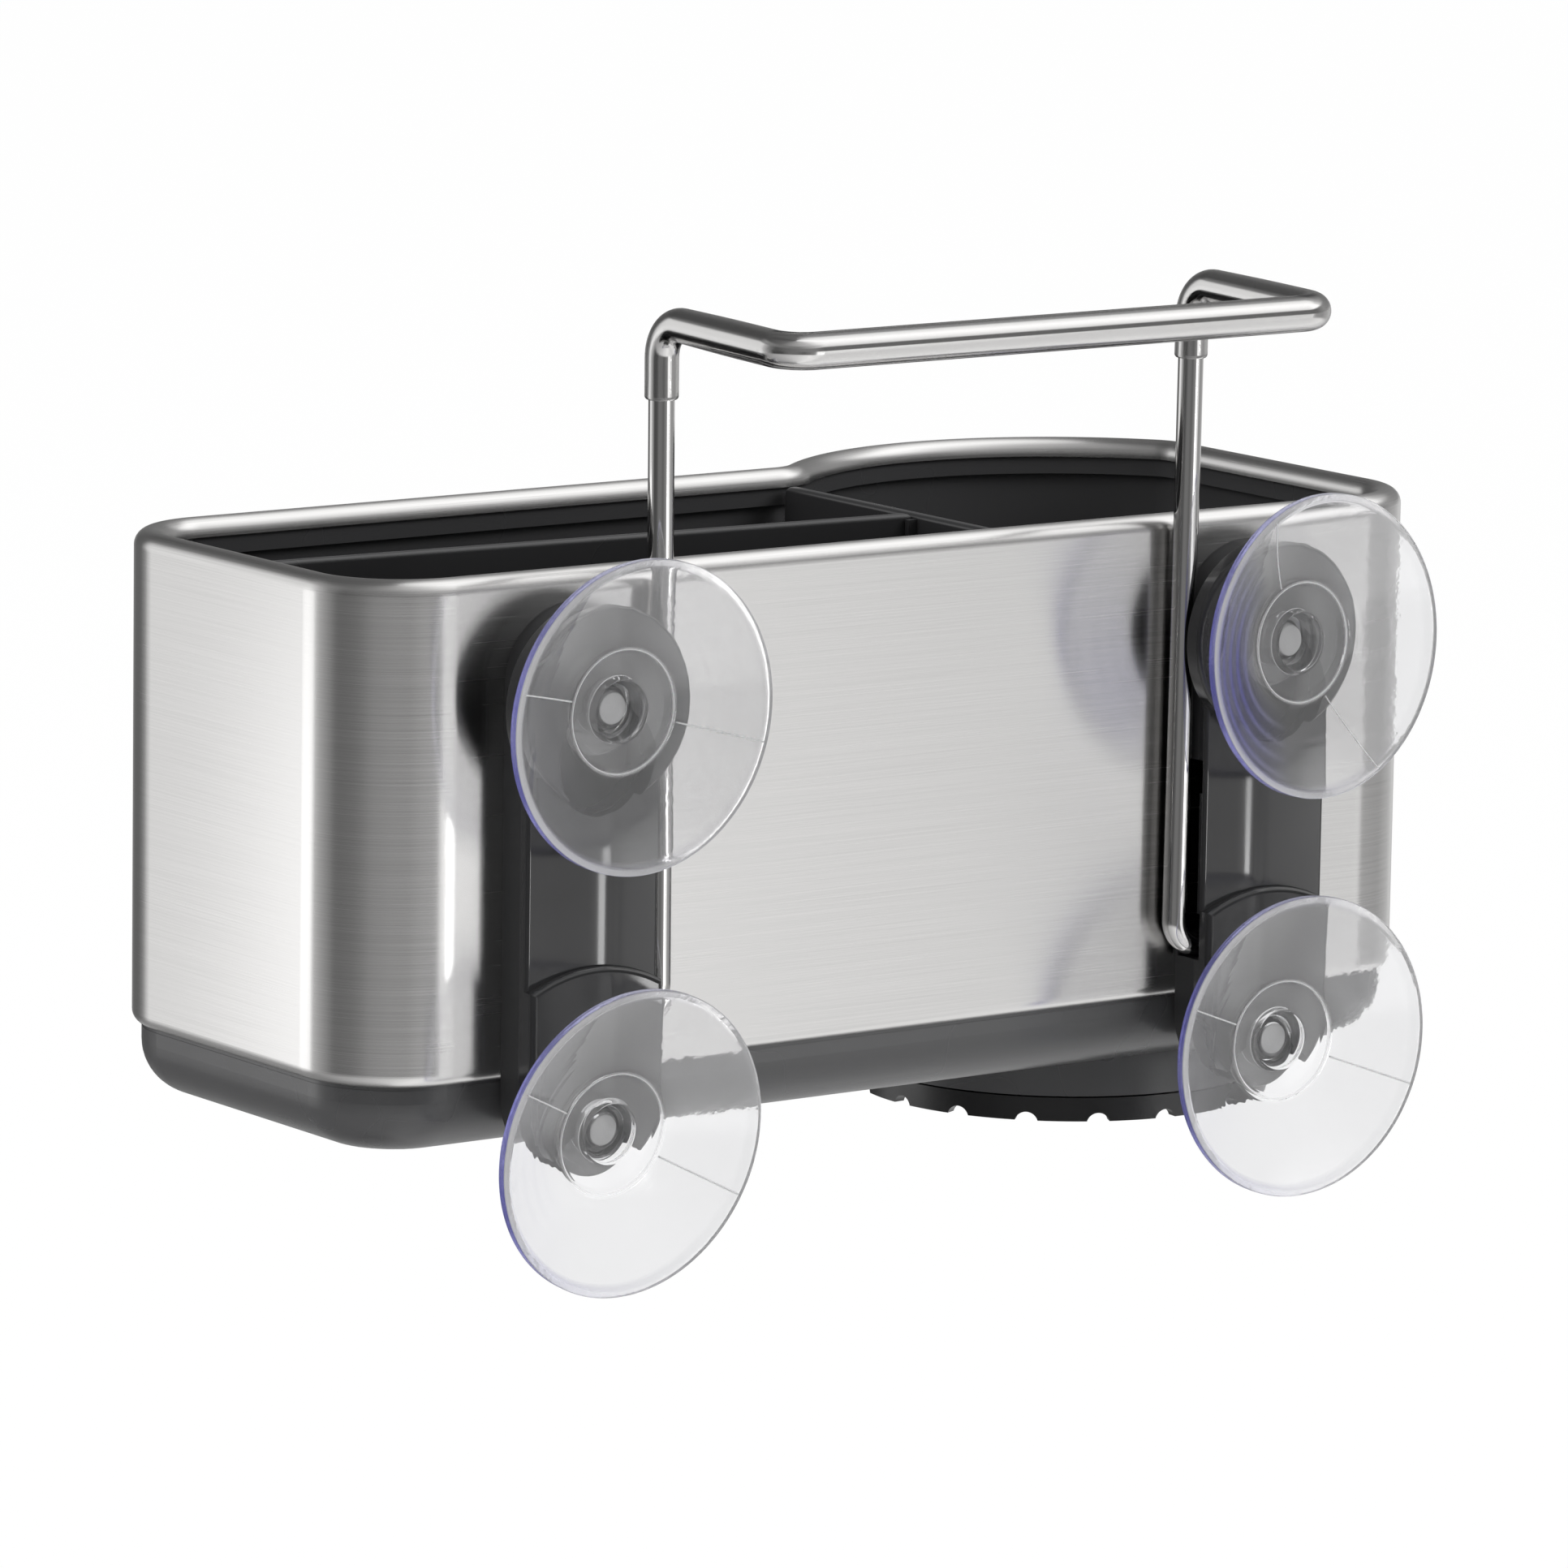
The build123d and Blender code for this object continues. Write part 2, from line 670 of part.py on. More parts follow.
with BuildPart() as cup_lower_right:
    cup(-bracket_x, cup_low)
write(cup_lower_right, "cup_lower_right")
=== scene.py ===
from math import cos, degrees, pi, radians, sin, sqrt

import bmesh
import bpy
import numpy as np
from mathutils import Matrix, Vector


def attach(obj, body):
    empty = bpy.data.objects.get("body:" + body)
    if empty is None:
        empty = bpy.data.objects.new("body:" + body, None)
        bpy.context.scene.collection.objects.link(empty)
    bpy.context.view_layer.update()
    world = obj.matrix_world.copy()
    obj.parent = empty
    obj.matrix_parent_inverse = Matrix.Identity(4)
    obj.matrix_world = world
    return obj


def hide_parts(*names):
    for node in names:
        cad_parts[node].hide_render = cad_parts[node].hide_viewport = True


# A steel clad sink caddy on four suction cups. Lengths are millimetres until a mesh is made, and metres for
# the camera, the lamps and the cards. The sink wall is Y = 0, the cups sit round the origin, the front faces
# -Y and +Z is up.
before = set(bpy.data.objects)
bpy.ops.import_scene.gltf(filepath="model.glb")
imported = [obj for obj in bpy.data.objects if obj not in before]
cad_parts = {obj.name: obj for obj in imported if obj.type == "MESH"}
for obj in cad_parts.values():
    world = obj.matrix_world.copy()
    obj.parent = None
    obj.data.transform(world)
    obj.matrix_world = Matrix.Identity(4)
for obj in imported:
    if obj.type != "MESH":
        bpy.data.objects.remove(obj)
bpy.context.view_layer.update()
MM = 0.001
MERGE = 1e-6  # Points closer than this, in metres, are one
GUARD = 0.3  # Distance of the extra points that keep the ends of straight runs flat
scene = bpy.context.scene

# Sizes, repeated from the CAD source, but for the rail's corner bends, which are tighter here
BACK, FRONT = -22.0, -113.6
LEFT, RIGHT = -125.6, 121.9
SEAM, RIM = -30.5, 62.1
CORNER_BACK, CORNER_FRONT, CORNER_BRUSH, CORNER_HOLLOW = 20.0, 20.0, 12.0, 8.0
BRUSH = np.array([-75.5, -68.9])
BRUSH_R = 61.0
CUP_X, CUP_Z = 77.2, 38.7
WIRE_R, TUBE_R = 2.4, 3.4
WIRE_Y, RAIL_Y = -18.5, 21.0
LEG_LOW_X, LEG_TOP_X, HOOK_X = 59.6, 60.6, 66.8
HOOK_Z, ELBOW_Z, RAIL_Z, TUBE_END_Z = -19.7, 106.6, 105.3, 92.3
HOOK_BEND, ELBOW_BEND, CORNER_BEND = 5.0, 6.5, 5.5


# Mesh helpers
def make_object(name, points, faces, body, material, uv=None, attributes=None):
    """One smooth object from arrays: points (n, 3) in millimetres, faces an array of corner numbers, and
    attributes a number for each point under each name. Doubles are merged and the faces turned outwards."""
    mesh = bpy.data.meshes.new(name)
    mesh.from_pydata((np.asarray(points) * MM).tolist(), [], np.asarray(faces).tolist())
    if uv is not None:
        layer = mesh.uv_layers.new(name="UVMap")
        corner = np.zeros(len(mesh.loops), np.int32)
        mesh.loops.foreach_get("vertex_index", corner)
        layer.data.foreach_set("uv", (np.asarray(uv)[corner] * MM).ravel().astype(np.float32))
    for key, values in (attributes or {}).items():
        layer = mesh.attributes.new(key, "FLOAT", "POINT")
        layer.data.foreach_set("value", np.ravel(values).astype(np.float32))
    bm = bmesh.new()
    bm.from_mesh(mesh)
    bmesh.ops.remove_doubles(bm, verts=bm.verts, dist=MERGE)
    bmesh.ops.recalc_face_normals(bm, faces=bm.faces)
    bm.to_mesh(mesh)
    bm.free()
    mesh.polygons.foreach_set("use_smooth", [True] * len(mesh.polygons))
    mesh.update()
    piece = bpy.data.objects.new(name, mesh)
    scene.collection.objects.link(piece)
    piece.data.materials.append(material)
    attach(piece, body)
    return piece


def grid_faces(rows, columns, wrap_rows=False, wrap_columns=False):
    """Quads of a rows by columns grid of points, numbered row by row, optionally closed each way."""
    r = np.arange(rows if wrap_rows else rows - 1)
    c = np.arange(columns if wrap_columns else columns - 1)
    r, c = np.meshgrid(r, c, indexing="ij")
    r2, c2 = (r + 1) % rows, (c + 1) % columns
    quads = np.stack([r * columns + c, r * columns + c2, r2 * columns + c2, r2 * columns + c], -1)
    return quads.reshape(-1, 4)


def ramp(value, start, end):
    """Share of the way from start to end, held at 0 before and at 1 beyond."""
    return np.clip((value - start) / (end - start), 0, 1)


def eased(share):
    """A share from 0 to 1 that starts and stops gently: three squares less two cubes."""
    return share * share * (3 - 2 * share)


def rounded(corners, radii, step=12.0):
    """A 2-D line through the corners, each replaced by an arc of its radius that is tangent to both its
    sides and has a point at least every step degrees."""
    corners = np.asarray(corners, float)
    nearly_straight = pi / 2 - 1e-4
    out = [corners[:1]]
    for i in range(1, len(corners) - 1):
        here, radius = corners[i], radii[i - 1]
        before = corners[i - 1] - here
        after = corners[i + 1] - here
        before /= np.linalg.norm(before)
        after /= np.linalg.norm(after)
        half = np.arccos(np.clip(before @ after, -1, 1)) / 2
        if radius <= 0 or half > nearly_straight:
            out.append(here[None])
            continue
        centre = here + (before + after) / np.linalg.norm(before + after) * radius / sin(half)
        start = here + before * radius / np.tan(half) - centre
        turn = pi - 2 * half
        side = np.sign(before[0] * after[1] - before[1] * after[0])
        count = max(3, int(degrees(turn) / step) + 2)
        a = -side * np.linspace(0, turn, count)
        spun = np.stack(
            [start[0] * np.cos(a) - start[1] * np.sin(a), start[0] * np.sin(a) + start[1] * np.cos(a)], 1
        )
        out.append(centre + spun)
    out.append(corners[-1:])
    return np.concatenate(out)


def guarded(line, guard, longest):
    """The same 2-D line with a point close to each end of its long runs, so that flat parts shade flat, and
    with points between them at most the longest distance apart."""
    out = [line[:1]]
    for a, b in zip(line[:-1], line[1:]):
        length = np.linalg.norm(b - a)
        if length > 4 * guard:
            inner = np.arange(1, int(length / longest) + 1) / (int(length / longest) + 1)
            share = np.concatenate([[guard / length], inner, [1 - guard / length]])
            out.append(a + share[:, None] * (b - a))
        out.append(b[None])
    return np.concatenate(out)


def arc_points(centre, radius, start, end, step=3.0):
    """Points and outward directions of an arc from start to end degrees; a negative radius is a hollow."""
    count = max(4, int(abs(end - start) / step) + 1)
    a = np.radians(np.linspace(start, end, count))
    direction = np.stack([np.cos(a), np.sin(a)], 1)
    return centre + abs(radius) * direction, np.sign(radius) * direction


def line_points(start, end, normal, spacing=2.0):
    """Points of a straight wall with a guard point near each end, and its outward direction at each."""
    start, end = np.asarray(start, float), np.asarray(end, float)
    length = np.linalg.norm(end - start)
    share = np.concatenate(
        [[GUARD / length], np.linspace(0, 1, int(length / spacing) + 1)[1:-1], [1 - GUARD / length]]
    )
    return start + share[:, None] * (end - start), np.tile(np.asarray(normal, float), (len(share), 1))


def plan_line():
    """The caddy's outer plan line, anticlockwise from above: points, outward directions and running length.

    It is made of the walls and of the arcs tangent to them: two back corners, the brush corner, the brush
    compartment's front, the hollow where that meets the long front wall, and the front corner."""
    brush_corner = np.array([LEFT + CORNER_BRUSH, 0.0])
    brush_corner[1] = BRUSH[1] - sqrt((BRUSH_R - CORNER_BRUSH) ** 2 - (brush_corner[0] - BRUSH[0]) ** 2)
    hollow = np.array([0.0, FRONT - CORNER_HOLLOW])
    hollow[0] = BRUSH[0] + sqrt((BRUSH_R + CORNER_HOLLOW) ** 2 - (hollow[1] - BRUSH[1]) ** 2)
    first = degrees(np.arctan2(*(brush_corner - BRUSH)[::-1])) % 360
    last = degrees(np.arctan2(*(hollow - BRUSH)[::-1])) % 360
    short_of, fine_step = 0.5, 1.5
    pieces = [
        line_points((RIGHT - CORNER_BACK, BACK), (LEFT + CORNER_BACK, BACK), (0, 1)),
        arc_points((LEFT + CORNER_BACK, BACK - CORNER_BACK), CORNER_BACK, 90, 180),
        line_points((LEFT, BACK - CORNER_BACK), (LEFT, brush_corner[1]), (-1, 0)),
        arc_points(brush_corner, CORNER_BRUSH, 180, first),
        arc_points(BRUSH, BRUSH_R, first + short_of, last - short_of, fine_step),
        arc_points(hollow, -CORNER_HOLLOW, last - 180, 90),
        line_points((hollow[0], FRONT), (RIGHT - CORNER_FRONT, FRONT), (0, -1)),
        arc_points((RIGHT - CORNER_FRONT, FRONT + CORNER_FRONT), CORNER_FRONT, 270, 360),
        line_points((RIGHT, FRONT + CORNER_FRONT), (RIGHT, BACK - CORNER_BACK), (1, 0)),
        arc_points((RIGHT - CORNER_BACK, BACK - CORNER_BACK), CORNER_BACK, 0, 90),
    ]
    points = np.concatenate([p for p, _ in pieces])
    outward = np.concatenate([n for _, n in pieces])
    run = np.concatenate([[0], np.cumsum(np.linalg.norm(np.diff(points, axis=0), axis=1))])
    return points, outward, run


PLAN, OUTWARD, RUN = plan_line()


def ring(inset, z):
    """The plan line moved inwards by inset, at height z."""
    return np.column_stack([PLAN - inset * OUTWARD, np.full(len(PLAN), z)])


def around(profile):
    """Rings of the plan line for each (inset, z) of a profile, with running length along both as UV."""
    rings = np.stack([ring(i, z) for i, z in profile])
    along = np.concatenate([[0], np.cumsum(np.linalg.norm(np.diff(profile, axis=0), axis=1))])
    uv = np.stack(np.broadcast_arrays(RUN[None, :], along[:, None]), -1)
    return rings, uv


# Materials
NOISE_LOW, NOISE_HIGH = 0.3, 0.7  # Most of a noise's values lie between these


def cells(size):
    """Scale of a noise whose cells are the size in millimetres, since it is laid out in metres."""
    return 1 / (size * MM)


def linear(hex_colour):
    """An sRGB hex value as linear RGBA."""
    srgb = np.array([int(hex_colour[i : i + 2], 16) for i in (0, 2, 4)]) / 255
    return tuple(np.where(srgb <= 0.04045, srgb / 12.92, ((srgb + 0.055) / 1.055) ** 2.4)) + (1.0,)


def add(tree, kind, inputs=None, **settings):
    """One node with its settings; inputs maps a socket's name or number to a value or to another socket."""
    made = tree.nodes.new(kind)
    for key, value in settings.items():
        setattr(made, key, value)
    for key, value in (inputs or {}).items():
        if isinstance(value, bpy.types.NodeSocket):
            tree.links.new(value, made.inputs[key])
        else:
            made.inputs[key].default_value = value
    return made


def new_material(name):
    """An empty node material and its tree."""
    material = bpy.data.materials.new(name)
    material.use_nodes = True
    material.node_tree.nodes.clear()
    return material, material.node_tree


def close(tree, shader):
    """Joins the finished shader to the material's output."""
    add(tree, "ShaderNodeOutputMaterial", {"Surface": shader})


def brushed_stainless():
    """304 stainless steel sheet, brushed lengthwise with a fine belt: soft reflections drawn out upwards."""
    material, tree = new_material("brushed_stainless_sheet")
    uv = add(tree, "ShaderNodeUVMap", uv_map="UVMap")
    # Belt lines, 66 to a centimetre, in broader bands, 7 to a centimetre
    line_long, line_apart, band_long, band_apart, band_share = 62.5, 10 / 66, 200.0, 10 / 7, 0.15
    lines = add(tree, "ShaderNodeMapping", {
        "Vector": uv.outputs["UV"], "Scale": (cells(line_long), cells(line_apart), 1.0),
    })
    fine = add(tree, "ShaderNodeTexNoise", {
        "Vector": lines.outputs["Vector"], "Scale": 1.0, "Detail": 3.0, "Roughness": 0.7,
    })
    wide = add(tree, "ShaderNodeMapping", {
        "Vector": uv.outputs["UV"], "Scale": (cells(band_long), cells(band_apart), 1.0),
    })
    broad = add(tree, "ShaderNodeTexNoise", {"Vector": wide.outputs["Vector"], "Scale": 1.0, "Detail": 2.0})
    tone = add(tree, "ShaderNodeMix", {
        0: band_share, 2: fine.outputs["Fac"], 3: broad.outputs["Fac"],
    }, data_type="FLOAT")
    colour = add(tree, "ShaderNodeValToRGB", {"Fac": tone.outputs[0]})
    colour.color_ramp.elements[0].position = NOISE_LOW
    colour.color_ramp.elements[0].color = linear("cbcac9")
    colour.color_ramp.elements[1].position = NOISE_HIGH
    colour.color_ramp.elements[1].color = linear("dddcdb")
    rough = add(tree, "ShaderNodeMapRange", {
        "Value": tone.outputs[0], "From Min": NOISE_LOW, "From Max": NOISE_HIGH,
        "To Min": 0.22, "To Max": 0.28,
    })
    bump = add(tree, "ShaderNodeBump", {
        "Strength": 0.04, "Distance": 0.01 * MM, "Height": fine.outputs["Fac"],
    })
    tangent = add(tree, "ShaderNodeTangent", direction_type="UV_MAP", uv_map="UVMap")
    shader = add(tree, "ShaderNodeBsdfPrincipled", {
        "Base Color": colour.outputs["Color"], "Metallic": 1.0, "Roughness": rough.outputs["Result"],
        "Anisotropic": 0.9, "Anisotropic Rotation": 0.25, "Tangent": tangent.outputs["Tangent"],
        "Normal": bump.outputs["Normal"],
    })
    close(tree, shader.outputs["BSDF"])
    return material


def polished_wire():
    """Stainless wire, drawn and polished: mirror bright with faint lengthwise drawing lines."""
    material, tree = new_material("polished_stainless_wire")
    uv = add(tree, "ShaderNodeUVMap", uv_map="UVMap")
    line_long, line_apart = 40.0, 10 / 9
    stretch = add(tree, "ShaderNodeMapping", {
        "Vector": uv.outputs["UV"], "Scale": (cells(line_long), cells(line_apart), 1.0),
    })
    lines = add(tree, "ShaderNodeTexNoise", {
        "Vector": stretch.outputs["Vector"], "Scale": 1.0, "Detail": 2.0,
    })
    rough = add(tree, "ShaderNodeMapRange", {
        "Value": lines.outputs["Fac"], "From Min": NOISE_LOW, "From Max": NOISE_HIGH,
        "To Min": 0.05, "To Max": 0.1,
    })
    shader = add(tree, "ShaderNodeBsdfPrincipled", {
        "Base Color": linear("d3d2d1"), "Metallic": 1.0, "Roughness": rough.outputs["Result"],
    })
    close(tree, shader.outputs["BSDF"])
    return material


def clear_tube():
    """Plasticised PVC tube, extruded clear: colourless and glossy, so the wire shows through it."""
    material, tree = new_material("clear_vinyl_tube")
    shader = add(tree, "ShaderNodeBsdfPrincipled", {
        "Base Color": linear("f6f6f6"), "Roughness": 0.05, "IOR": 1.5, "Transmission Weight": 1.0,
    })
    close(tree, shader.outputs["BSDF"])
    return material


def clear_cup():
    """Plasticised PVC, injection moulded clear: neutral where it is thin, violet toner and a faint frost
    where light travels along it to the rim; the attributes toner and frost say how much."""
    material, tree = new_material("clear_vinyl_moulded")
    toner = add(tree, "ShaderNodeAttribute", attribute_name="toner")
    frost = add(tree, "ShaderNodeAttribute", attribute_name="frost")
    # The toner shows where light crosses the wall aslant and so passes more of it
    full_slant, flow_size = 0.35, 20 / 9
    slant = add(tree, "ShaderNodeLayerWeight", {"Blend": 0.5})
    slant = add(tree, "ShaderNodeMapRange", {
        "Value": slant.outputs["Facing"], "From Min": 0.0, "From Max": full_slant,
    })
    depth = add(tree, "ShaderNodeMath", {
        0: toner.outputs["Fac"], 1: slant.outputs["Result"],
    }, operation="MULTIPLY")
    colour = add(tree, "ShaderNodeValToRGB", {"Fac": depth.outputs[0]})
    colour.color_ramp.elements[0].color = linear("f7f7f8")
    colour.color_ramp.elements[1].color = linear("6e6dd0")
    place = add(tree, "ShaderNodeTexCoord")
    clear = add(tree, "ShaderNodeMapRange", {"Value": frost.outputs["Fac"], "To Min": 0.93, "To Max": 0.4})
    rough = add(tree, "ShaderNodeMapRange", {"Value": frost.outputs["Fac"], "To Min": 0.02, "To Max": 0.45})
    flow = add(tree, "ShaderNodeTexNoise", {
        "Vector": place.outputs["Object"], "Scale": cells(flow_size), "Detail": 3.0,
    })
    bump = add(tree, "ShaderNodeBump", {
        "Strength": frost.outputs["Fac"], "Distance": 0.5 * MM, "Height": flow.outputs["Fac"],
    })
    shader = add(tree, "ShaderNodeBsdfPrincipled", {
        "Base Color": colour.outputs["Color"], "Roughness": rough.outputs["Result"], "IOR": 1.48,
        "Transmission Weight": clear.outputs["Result"], "Normal": bump.outputs["Normal"],
    })
    close(tree, shader.outputs["BSDF"])
    return material


def moulded(name, hex_colour, roughness, grain_size, grain, sink=False):
    """ABS, injection moulded: even dark colour, soft sheen, and the fine grain that a textured mould leaves,
    its size in millimetres. With sink, the bracket's wide face is shaded as moulding leaves it over the ribs
    behind it, slightly sunk with one low upright ridge, and its deep parts are dull."""
    material, tree = new_material(name)
    drift_size, smoother, rougher = 250 / 7, 0.04, 0.05
    place = add(tree, "ShaderNodeTexCoord")
    speckle = add(tree, "ShaderNodeTexNoise", {
        "Vector": place.outputs["Object"], "Scale": cells(grain_size), "Detail": 2.0,
    })
    drift = add(tree, "ShaderNodeTexNoise", {
        "Vector": place.outputs["Object"], "Scale": cells(drift_size), "Detail": 2.0,
    })
    rough = add(tree, "ShaderNodeMapRange", {
        "Value": drift.outputs["Fac"], "From Min": NOISE_LOW, "From Max": NOISE_HIGH,
        "To Min": roughness - smoother, "To Max": roughness + rougher,
    })
    bump = add(tree, "ShaderNodeBump", {
        "Strength": grain, "Distance": 0.05 * MM, "Height": speckle.outputs["Fac"],
    })
    if sink:
        sink_radius, ridge_x, ridge_half, ridge_rise = 120.0, 74.3, 1.8, 0.19
        deep_y, deep_blend, deep_roughness = -16.5, 0.5, 0.6
        axes = add(tree, "ShaderNodeSeparateXYZ", {"Vector": place.outputs["Object"]})
        side = add(tree, "ShaderNodeMath", {0: axes.outputs["X"]}, operation="SIGN")
        off = add(tree, "ShaderNodeMath", {
            0: side.outputs[0], 1: -ridge_x * MM, 2: axes.outputs["X"],
        }, operation="MULTIPLY_ADD")
        square = add(tree, "ShaderNodeMath", {0: off.outputs[0], 1: off.outputs[0]}, operation="MULTIPLY")
        share = add(tree, "ShaderNodeMath", {
            0: square.outputs[0], 1: -1 / (ridge_half * MM) ** 2,
        }, operation="MULTIPLY")
        ridge = add(tree, "ShaderNodeMath", {0: share.outputs[0]}, operation="EXPONENT")
        sunk = add(tree, "ShaderNodeMath", {
            0: square.outputs[0], 1: 0.5 / (sink_radius * MM),
        }, operation="MULTIPLY")
        rise = add(tree, "ShaderNodeMath", {
            0: ridge.outputs[0], 1: ridge_rise * MM, 2: sunk.outputs[0],
        }, operation="MULTIPLY_ADD")
        bump = add(tree, "ShaderNodeBump", {
            "Strength": 1.0, "Distance": 1.0, "Height": rise.outputs[0],
            "Normal": bump.outputs["Normal"],
        })
        rough = add(tree, "ShaderNodeMapRange", {
            "Value": axes.outputs["Y"], "From Min": deep_y * MM, "From Max": (deep_y + deep_blend) * MM,
            "To Min": deep_roughness, "To Max": rough.outputs["Result"],
        })
    shader = add(tree, "ShaderNodeBsdfPrincipled", {
        "Base Color": linear(hex_colour), "Roughness": rough.outputs["Result"], "IOR": 1.53,
        "Normal": bump.outputs["Normal"],
    })
    close(tree, shader.outputs["BSDF"])
    return material


def plated_screw():
    """Carbon steel screw, zinc plated: bright grey with a dull bloom."""
    material, tree = new_material("zinc_plated_screw")
    place = add(tree, "ShaderNodeTexCoord")
    bloom_size = 10 / 9
    bloom = add(tree, "ShaderNodeTexNoise", {
        "Vector": place.outputs["Object"], "Scale": cells(bloom_size),
    })
    rough = add(tree, "ShaderNodeMapRange", {"Value": bloom.outputs["Fac"], "To Min": 0.25, "To Max": 0.45})
    shader = add(tree, "ShaderNodeBsdfPrincipled", {
        "Base Color": linear("b8b8b6"), "Metallic": 1.0, "Roughness": rough.outputs["Result"],
    })
    close(tree, shader.outputs["BSDF"])
    return material


STEEL = brushed_stainless()
WIRE = polished_wire()
TUBE = clear_tube()
CUP = clear_cup()
BIN_ABS = moulded("abs_bin_textured", "3f3f40", roughness=0.28, grain_size=0.45, grain=0.2)
BRACKET_ABS = moulded(
    "abs_bracket_semi_gloss", "262627", roughness=0.14, grain_size=0.8, grain=0.06, sink=True
)
DIVIDER_ABS = moulded("abs_divider_satin", "2c2c2d", roughness=0.28, grain_size=0.5, grain=0.15)
CAP_ABS = moulded("abs_cap_satin", "161617", roughness=0.25, grain_size=0.5, grain=0.2)
SCREW = plated_screw()

for node_name, finish in (
    ("steel_sleeve", STEEL), ("bin", BIN_ABS), ("bracket_left", BRACKET_ABS), ("bracket_right", BRACKET_ABS),
    ("bracket_screws", SCREW), ("drain_cap", CAP_ABS), ("cross_divider", DIVIDER_ABS),
    ("sponge_divider", DIVIDER_ABS), ("wire_bar", WIRE), ("bar_tube", TUBE), ("cup_upper_left", CUP),
    ("cup_upper_right", CUP), ("cup_lower_left", CUP), ("cup_lower_right", CUP),
):
    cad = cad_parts[node_name]
    cad.data.materials.clear()
    cad.data.materials.append(finish)


# Steel sleeve
def steel_sleeve():
    """Thin sheet carried round the plan line: upright wall, half round rim roll with a short inner lip, and
    a foot turned in under the wall. The profile is a closed line of (inset, height)."""
    sheet, roll, lip, foot, flange = 0.6, 3.0, 0.6, 2.5, 1.6
    roll_points, foot_points = 25, 9
    up = np.linspace(pi, 0, roll_points)
    outer_roll = np.column_stack([roll + roll * np.cos(up), RIM - roll + roll * np.sin(up)])
    inner = roll - sheet
    inner_roll = np.column_stack([roll + inner * np.cos(up), RIM - roll + inner * np.sin(up)])[::-1]
    turn = np.linspace(-np.arccos((flange - foot) / foot), -pi, foot_points)
    outer_foot = np.column_stack([foot + foot * np.cos(turn), SEAM + foot + foot * np.sin(turn)])
    thin = foot - sheet
    turn = np.linspace(-np.arccos((flange - foot) / thin), -pi, foot_points)
    inner_foot = np.column_stack([foot + thin * np.cos(turn), SEAM + foot + thin * np.sin(turn)])[::-1]
    low = RIM - roll - lip
    profile = np.concatenate(
        [outer_foot, outer_roll, [[2 * roll, low]], [[2 * roll - sheet, low]], inner_roll, inner_foot]
    )
    profile = guarded(profile, guard=0.15, longest=12.0)
    rings, uv = around(profile)
    faces = grid_faces(len(profile), len(PLAN), True, True)
    piece = make_object(
        "steel_sleeve_sheet", rings.reshape(-1, 3), faces, "caddy", STEEL, uv.reshape(-1, 2)
    )
    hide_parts("steel_sleeve")


steel_sleeve()


# Wire rail and its tube
def bent(corners, radii, spacing=5.0):
    """A 3-D line through the corners, each replaced by an arc of its radius tangent to both its sides, with
    points at most the spacing apart on the straight runs."""
    corners = np.array(corners, float)
    bend_points, long_run = 17, 3.0
    out = [corners[:1]]
    for here, before, after, radius in zip(corners[1:-1], corners[:-2], corners[2:], radii):
        a = (before - here) / np.linalg.norm(before - here)
        b = (after - here) / np.linalg.norm(after - here)
        half = np.arccos(np.clip(a @ b, -1, 1)) / 2
        turn = pi - 2 * half
        centre = here + (a + b) / np.linalg.norm(a + b) * radius / sin(half)
        first = here + a * radius / np.tan(half) - centre
        last = here + b * radius / np.tan(half) - centre
        share = np.linspace(0, 1, bend_points)[:, None]
        out.append(centre + (np.sin((1 - share) * turn) * first + np.sin(share * turn) * last) / sin(turn))
    out.append(corners[-1:])
    line = np.concatenate(out)
    dense = [line[:1]]
    for a, b in zip(line[:-1], line[1:]):
        length = np.linalg.norm(b - a)
        if length > long_run:
            inner = np.arange(1, int(length / spacing) + 1) / (int(length / spacing) + 1)
            share = np.concatenate([[GUARD / length], inner, [1 - GUARD / length]])
            dense.append(a + share[:, None] * (b - a))
        dense.append(b[None])
    return np.concatenate(dense)


def rail_path(start_z, hooks):
    """The rail's centreline from the +X leg to the -X leg: legs that spread a little upwards, arms that drop
    a little towards the straight run over the wall."""
    start_x = LEG_LOW_X + (LEG_TOP_X - LEG_LOW_X) * (start_z - HOOK_Z) / (ELBOW_Z - HOOK_Z)
    half = [(start_x, WIRE_Y, start_z), (LEG_TOP_X, WIRE_Y, ELBOW_Z), (LEG_TOP_X, RAIL_Y, RAIL_Z)]
    bends = [ELBOW_BEND, CORNER_BEND]
    if hooks:
        half = [(HOOK_X, WIRE_Y, start_z)] + half
        bends = [HOOK_BEND] + bends
    other = [(-x, y, z) for x, y, z in half[::-1]]
    return bent(half + other, bends + bends[::-1])


def tube_along(path, radius, sides=40):
    """Rings of a round tube: centreline point plus radius times two directions square to the path. The
    first of them is also square to a direction that no stretch of the rail follows."""
    aside = np.array([0.31, 0.47, 0.83])
    tangent = np.gradient(path, axis=0)
    tangent /= np.linalg.norm(tangent, axis=1)[:, None]
    side = np.cross(tangent, aside)
    side /= np.linalg.norm(side, axis=1)[:, None]
    other = np.cross(tangent, side)
    a = np.linspace(0, 2 * pi, sides, endpoint=False)[:, None]
    radius = np.broadcast_to(np.asarray(radius, float), (len(path),))[:, None, None]
    return path[:, None] + radius * (side[:, None] * np.cos(a) + other[:, None] * np.sin(a))


def rounded_end(path, rings, end, radius, round_off, angles):
    """Rings that round a tube's edge at its first or last end. Each is the end's ring shrunk by the round
    times one less the cosine of its angle, and moved inwards by the round times one less the sine."""
    inward = path[1 if end == 0 else -2] - path[end]
    inward /= np.linalg.norm(inward)
    out = []
    for a in angles:
        shrink = (radius - round_off * (1 - cos(a))) / radius
        out.append(path[end] + (rings[end] - path[end]) * shrink + inward * round_off * (1 - sin(a)))
    return out


